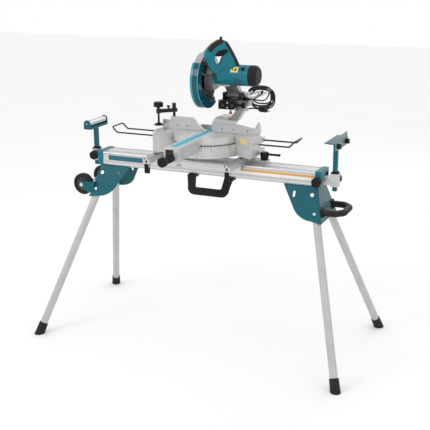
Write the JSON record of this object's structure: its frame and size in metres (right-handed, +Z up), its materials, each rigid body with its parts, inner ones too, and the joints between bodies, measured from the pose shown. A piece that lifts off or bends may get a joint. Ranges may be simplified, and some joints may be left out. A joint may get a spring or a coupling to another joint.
{
  "type": "mitre saw on stand",
  "caption": "Sliding compound mitre saw clamped to a folding aluminium stand with sliding work supports, wheels and a carrying handle.",
  "frame": {"origin": "on the floor under the middle of the beam, at the centre of the whole assembly's box", "axes": "+X along the beam to the operator's right, +Y from the operator to the rear, +Z up"},
  "size_m": [1.6588, 1, 1.53],
  "materials": {
    "beam_aluminium": "satin extruded",
    "arm_aluminium": "satin extruded",
    "tube_aluminium": "satin",
    "leg_grey": "satin light grey",
    "teal_paint": "semi gloss powder coat",
    "teal_moulding": "satin moulding",
    "cast_aluminium": "fine cast",
    "fence_aluminium": "machined and painted",
    "case_aluminium": "die cast",
    "black_plastic": "fine textured",
    "dark_cap": "fine textured",
    "black_steel": "satin black",
    "bolt_steel": "zinc plated",
    "chrome": "polished",
    "blade_steel": "ground",
    "stop_grey": "satin",
    "rubber": "matte",
    "tyre": "matte",
    "board_cyan": "satin",
    "guard_clear": "tinted clear",
    "cord_rubber": "matte"
  },
  "bodies": {
    "stand": {"beam": "beam_aluminium", "end_cap_left": "teal_moulding", "end_cap_right": "teal_moulding", "leg_bracket_left": "teal_paint", "leg_bracket_right": "teal_paint", "bracket_fasteners": "bolt_steel", "carry_handle": "black_plastic", "tow_handle": "rubber"},
    "leg_front_left": {"leg_front_left": "leg_grey", "foot_front_left": "rubber"},
    "leg_front_right": {"leg_front_right": "leg_grey", "foot_front_right": "rubber"},
    "leg_rear_left": {"leg_rear_left": "leg_grey", "foot_rear_left": "rubber"},
    "leg_rear_right": {"leg_rear_right": "leg_grey", "foot_rear_right": "rubber"},
    "wheel_front": {"wheel_front": "tyre"},
    "wheel_rear": {"wheel_rear": "tyre"},
    "extension_left": {"extension_left": "tube_aluminium"},
    "extension_right": {"extension_right": "tube_aluminium"},
    "extension_lock_left": {"extension_knob_left": "black_plastic"},
    "extension_lock_right": {"extension_knob_right": "black_plastic"},
    "support_left": {"support_post_left": "teal_paint"},
    "support_right": {"support_post_right": "teal_paint", "stop_knobs": "black_plastic"},
    "post_lock_left": {"post_knob_left": "black_plastic"},
    "post_lock_right": {"post_knob_right": "black_plastic"},
    "roller": {"roller": "chrome"},
    "stop": {"stop_plate": "stop_grey"},
    "saw_mount": {"mounting_arm_left": "arm_aluminium", "mounting_arm_right": "arm_aluminium", "saw_base": "cast_aluminium", "mounting_bolts": "bolt_steel", "fence": "fence_aluminium"},
    "arm_lever_left": {"arm_lever_left": "black_plastic"},
    "arm_lever_right": {"arm_lever_right": "black_plastic"},
    "clamp_handle": {"clamp_handle": "black_plastic"},
    "turntable": {"turntable": "cast_aluminium", "kerf_boards": "board_cyan"},
    "mitre_grip": {"mitre_grip": "black_plastic"},
    "sub_fence_left": {"sub_fence_left": "fence_aluminium"},
    "sub_fence_right": {"sub_fence_right": "fence_aluminium"},
    "wire_holder_left": {"wire_holder_left": "black_steel"},
    "wire_holder_right": {"wire_holder_right": "black_steel"},
    "vise": {"vise_frame": "black_steel"},
    "vise_screw": {"vise_screw": "black_plastic"},
    "bevel": {"bevel_arm": "case_aluminium"},
    "bevel_lever": {"bevel_lever": "black_plastic"},
    "slide": {"carriage": "black_steel", "slide_poles": "chrome", "cord_coil": "cord_rubber", "cord_lead": "cord_rubber", "plug": "rubber"},
    "head": {"blade_case": "case_aluminium", "motor_housing": "teal_moulding", "motor_cap": "dark_cap"},
    "trigger": {"trigger": "black_plastic"},
    "lock_button": {"lock_button": "black_plastic"},
    "blade": {"blade": "blade_steel"},
    "guard": {"lower_guard": "guard_clear"}
  },
  "joints": [
    {"name": "fold_front_right", "type": "hinge", "parent": "stand", "child": "leg_front_right", "pos_m": [0.569, -0.05285, 0.80802], "axis": [0, 0.9212, -0.3891], "range_deg": [0, 92]},
    {"name": "fold_rear_right", "type": "hinge", "parent": "stand", "child": "leg_rear_right", "pos_m": [0.569, 0.05285, 0.80802], "axis": [0, 0.9212, 0.3891], "range_deg": [0, 92]},
    {"name": "fold_rear_left", "type": "hinge", "parent": "stand", "child": "leg_rear_left", "pos_m": [-0.569, 0.05285, 0.80802], "axis": [0, -0.9212, -0.3891], "range_deg": [0, 105]},
    {"name": "fold_front_left", "type": "hinge", "parent": "stand", "child": "leg_front_left", "pos_m": [-0.569, -0.05285, 0.80802], "axis": [0, -0.9212, 0.3891], "range_deg": [0, 105]},
    {"name": "wheel_spin_front", "type": "hinge", "parent": "stand", "child": "wheel_front", "pos_m": [-0.675, -0.097, 0.753], "axis": [0, 1, 0], "continuous": true},
    {"name": "wheel_spin_rear", "type": "hinge", "parent": "stand", "child": "wheel_rear", "pos_m": [-0.675, 0.097, 0.753], "axis": [0, 1, 0], "continuous": true},
    {"name": "extend_left", "type": "slide", "parent": "stand", "child": "extension_left", "axis": [-1, 0, 0], "range_m": [0, 0.6]},
    {"name": "extend_right", "type": "slide", "parent": "stand", "child": "extension_right", "axis": [1, 0, 0], "range_m": [0, 0.6]},
    {"name": "lock_extension_left", "type": "hinge", "parent": "stand", "child": "extension_lock_left", "pos_m": [-0.589, 0.074, 0.883], "axis": [0, 1, 0], "range_deg": [0, 180]},
    {"name": "lock_extension_right", "type": "hinge", "parent": "stand", "child": "extension_lock_right", "pos_m": [0.589, -0.074, 0.883], "axis": [0, -1, 0], "range_deg": [0, 180]},
    {"name": "raise_left", "type": "slide", "parent": "extension_left", "child": "support_left", "axis": [0, 0, 1], "range_m": [-0.07, 0.045]},
    {"name": "raise_right", "type": "slide", "parent": "extension_right", "child": "support_right", "axis": [0, 0, 1], "range_m": [-0.1, 0.045]},
    {"name": "lock_post_left", "type": "hinge", "parent": "extension_left", "child": "post_lock_left", "pos_m": [-0.66, 0.001, 0.888], "axis": [0, -1, 0], "range_deg": [0, 180]},
    {"name": "lock_post_right", "type": "hinge", "parent": "extension_right", "child": "post_lock_right", "pos_m": [0.66, -0.001, 0.888], "axis": [0, 1, 0], "range_deg": [0, 180]},
    {"name": "roller_spin", "type": "hinge", "parent": "support_left", "child": "roller", "pos_m": [-0.66, 0.022, 1.062], "axis": [0, 1, 0], "continuous": true},
    {"name": "stop_height", "type": "slide", "parent": "support_right", "child": "stop", "axis": [0, 0, 1], "range_m": [-0.03, 0]},
    {"name": "saw_shift", "type": "slide", "parent": "stand", "child": "saw_mount", "axis": [1, 0, 0], "range_m": [-0.06, 0.12]},
    {"name": "rail_lever_left", "type": "hinge", "parent": "saw_mount", "child": "arm_lever_left", "pos_m": [-0.231, -0.212, 0.918], "axis": [-1, 0, 0], "range_deg": [0, 80]},
    {"name": "rail_lever_right", "type": "hinge", "parent": "saw_mount", "child": "arm_lever_right", "pos_m": [0.195, -0.212, 0.918], "axis": [-1, 0, 0], "range_deg": [0, 80]},
    {"name": "clamp_turn", "type": "hinge", "parent": "saw_mount", "child": "clamp_handle", "pos_m": [0.283, 0.04, 0.95], "axis": [0, 0, 1], "range_deg": [0, 90]},
    {"name": "mitre", "type": "hinge", "parent": "saw_mount", "child": "turntable", "pos_m": [-0.007, 0.01, 1.04], "axis": [0, 0, 1], "range_deg": [-46, 55]},
    {"name": "mitre_lock", "type": "hinge", "parent": "turntable", "child": "mitre_grip", "pos_m": [0, -0.45, 1.014], "axis": [0, 1, 0], "range_deg": [0, 180]},
    {"name": "sub_fence_left_out", "type": "slide", "parent": "saw_mount", "child": "sub_fence_left", "axis": [-1, 0, 0], "range_m": [0, 0.09]},
    {"name": "sub_fence_right_out", "type": "slide", "parent": "saw_mount", "child": "sub_fence_right", "axis": [1, 0, 0], "range_m": [0, 0.09]},
    {"name": "holder_left_out", "type": "slide", "parent": "saw_mount", "child": "wire_holder_left", "axis": [-1, 0, 0], "range_m": [0, 0.03]},
    {"name": "holder_right_out", "type": "slide", "parent": "saw_mount", "child": "wire_holder_right", "axis": [1, 0, 0], "range_m": [0, 0.05]},
    {"name": "vise_swing", "type": "hinge", "parent": "saw_mount", "child": "vise", "pos_m": [-0.205, 0.038, 1.1], "axis": [0, 0, 1], "range_deg": [-4, 40]},
    {"name": "vise_screw_travel", "type": "slide", "parent": "vise", "child": "vise_screw", "axis": [0, 0, 1], "range_m": [0, 0.04]},
    {"name": "bevel", "type": "hinge", "parent": "turntable", "child": "bevel", "pos_m": [-0.007, 0.218, 1.06], "axis": [0, 1, 0], "range_deg": [-42, 0]},
    {"name": "bevel_lock", "type": "hinge", "parent": "turntable", "child": "bevel_lever", "pos_m": [-0.007, 0.248, 1.06], "axis": [0, 1, 0], "range_deg": [-20, 20]},
    {"name": "head_slide", "type": "slide", "parent": "bevel", "child": "slide", "axis": [0, -1, 0], "range_m": [0, 0.18]},
    {"name": "chop", "type": "hinge", "parent": "slide", "child": "head", "pos_m": [0.072, 0.15, 1.225], "axis": [1, 0, 0], "range_deg": [0, 46.6], "stiffness_Nm_per_rad": 20, "springref_deg": -51.57},
    {"name": "trigger_pull", "type": "slide", "parent": "head", "child": "trigger", "axis": [0, 0, 1], "range_m": [0, 0.005], "stiffness_N_per_m": 600, "springref_m": -0.002},
    {"name": "button_press", "type": "slide", "parent": "head", "child": "lock_button", "axis": [0, 0, -1], "range_m": [0, 0.005], "stiffness_N_per_m": 400, "springref_m": -0.002},
    {"name": "blade_spin", "type": "hinge", "parent": "head", "child": "blade", "pos_m": [-0.007, -0.005, 1.319], "axis": [1, 0, 0], "continuous": true},
    {"name": "guard_turn", "type": "hinge", "parent": "head", "child": "guard", "pos_m": [-0.02, -0.005, 1.319], "axis": [1, 0, 0], "range_deg": [-117, 0]}
  ],
  "couplings": [
    {"joint": "guard_turn", "follows": "chop", "ratio": -2.5}
  ]
}
